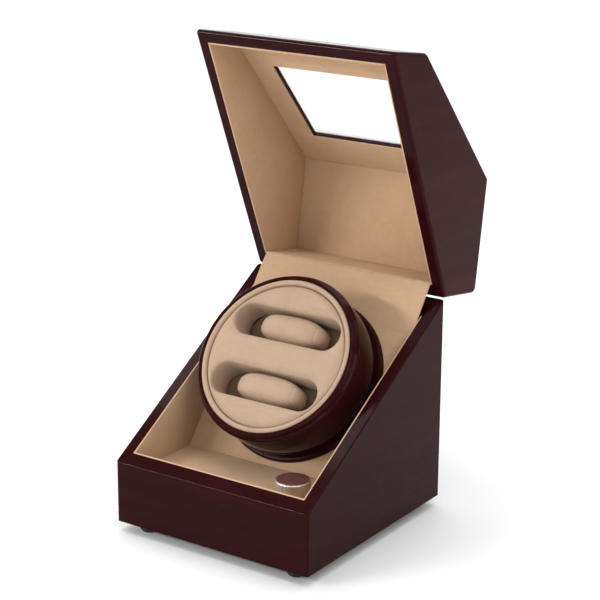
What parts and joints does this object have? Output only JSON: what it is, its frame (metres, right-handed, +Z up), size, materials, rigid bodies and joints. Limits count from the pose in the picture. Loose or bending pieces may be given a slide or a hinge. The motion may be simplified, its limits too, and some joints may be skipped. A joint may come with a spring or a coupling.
{
  "type": "watch winder box",
  "caption": "Glossy lacquered watch winder with a sloping case, a hinged windowed hood, suede lining and a tilted motor-driven rotor with slots for padded watch holders.",
  "frame": {"origin": "on the table, under the middle of the case footprint", "axes": "+X towards the right seen from the front, +Y towards the rear where the hood is hinged, +Z up"},
  "size_m": [0.17, 0.2409, 0.3594],
  "materials": {
    "lacquer": "deep burgundy piano lacquer on board, high gloss",
    "suede_lining": "beige suede velvet laminated on card",
    "suede_cushion": "beige suede velvet over foam",
    "clear_glass": "clear polished pane",
    "hinge_metal": "brass plated, polished",
    "screw_steel": "zinc plated",
    "foot_rubber": "matte black moulded rubber",
    "bronze_bush": "oil-filled sintered bronze",
    "moulded_black": "moulded black plastic",
    "gear_white": "acetal, as moulded",
    "shaft_steel": "ground steel",
    "motor_steel": "nickel plated can",
    "bracket_steel": "folded zinc plated sheet",
    "board_green": "solder-masked circuit board with black parts",
    "knob_metal": "turned and brushed, polished edge",
    "knob_inlay": "dark red glossy inlay with an engraved pointer",
    "cover_board": "black painted board"
  },
  "bodies": {
    "case": {"left_wall": "lacquer", "right_wall": "lacquer", "front_wall": "lacquer", "rear_wall": "lacquer", "bottom_cover": "cover_board", "ledge_board": "cover_board", "slope_board": "cover_board", "wall_lining": "suede_lining", "ledge_lining": "suede_lining", "slope_lining": "suede_lining", "hinge_flap": "suede_lining", "foot_front_left": "foot_rubber", "foot_front_right": "foot_rubber", "foot_rear_left": "foot_rubber", "foot_rear_right": "foot_rubber", "base_screws": "screw_steel", "base_disc": "lacquer", "disc_screws": "screw_steel", "bearing_housing": "moulded_black", "housing_screws": "screw_steel", "shaft_bushes": "bronze_bush", "motor_bracket": "bracket_steel", "bracket_screws": "screw_steel", "motor_gearbox": "motor_steel", "motor_can": "motor_steel", "selector_switch": "moulded_black", "circuit_board": "board_green", "power_inlet": "moulded_black", "hinge_case_leaves": "hinge_metal", "hinge_pins": "hinge_metal", "hinge_case_screws": "hinge_metal"},
    "hood": {"hood_left_wall": "lacquer", "hood_right_wall": "lacquer", "hood_rear_wall": "lacquer", "hood_top_panel": "lacquer", "hood_window_panel": "lacquer", "hood_front_lip": "lacquer", "window_glass": "clear_glass", "hood_left_lining": "suede_lining", "hood_right_lining": "suede_lining", "hood_rear_lining": "suede_lining", "hood_top_lining": "suede_lining", "hood_window_lining": "suede_lining", "hood_front_lining": "suede_lining", "hinge_hood_leaves": "hinge_metal", "hinge_hood_screws": "hinge_metal"},
    "rotor": {"rotor_cup": "lacquer", "rotor_hub": "moulded_black", "hub_screws": "screw_steel", "rotor_shaft": "shaft_steel", "drive_gear": "gear_white", "slotted_cushion": "suede_cushion", "cushion_backing": "suede_cushion", "cushion_ring": "suede_cushion"},
    "pinion": {"pinion_shaft": "shaft_steel"},
    "pillow_upper": {"upper_pillow": "suede_cushion"},
    "pillow_lower": {"lower_pillow": "suede_cushion"},
    "selector": {"knob_body": "knob_metal", "knob_cap": "knob_inlay", "selector_shaft": "shaft_steel"}
  },
  "joints": [
    {"name": "hood_hinge", "type": "hinge", "parent": "case", "child": "hood", "pos_m": [0, 0.09, 0.16515], "axis": [1, 0, 0], "range_deg": [0, 99]},
    {"name": "rotor_spin", "type": "hinge", "parent": "case", "child": "rotor", "pos_m": [0, 0.0286, 0.1013], "axis": [0, -0.7815, 0.6239], "continuous": true},
    {"name": "pinion_spin", "type": "hinge", "parent": "case", "child": "pinion", "pos_m": [0, 0.02967, 0.05937], "axis": [0, -0.7815, 0.6239], "continuous": true},
    {"name": "upper_pillow_lift", "type": "slide", "parent": "rotor", "child": "pillow_upper", "axis": [0, -0.7815, 0.6239], "range_m": [0, 0.026]},
    {"name": "lower_pillow_lift", "type": "slide", "parent": "rotor", "child": "pillow_lower", "axis": [0, -0.7815, 0.6239], "range_m": [0, 0.026]},
    {"name": "selector_turn", "type": "hinge", "parent": "case", "child": "selector", "pos_m": [0.047, -0.053, 0.053], "axis": [0, 0, 1], "range_deg": [-135, 135]}
  ],
  "couplings": [
    {"joint": "pinion_spin", "follows": "rotor_spin", "ratio": -3}
  ]
}
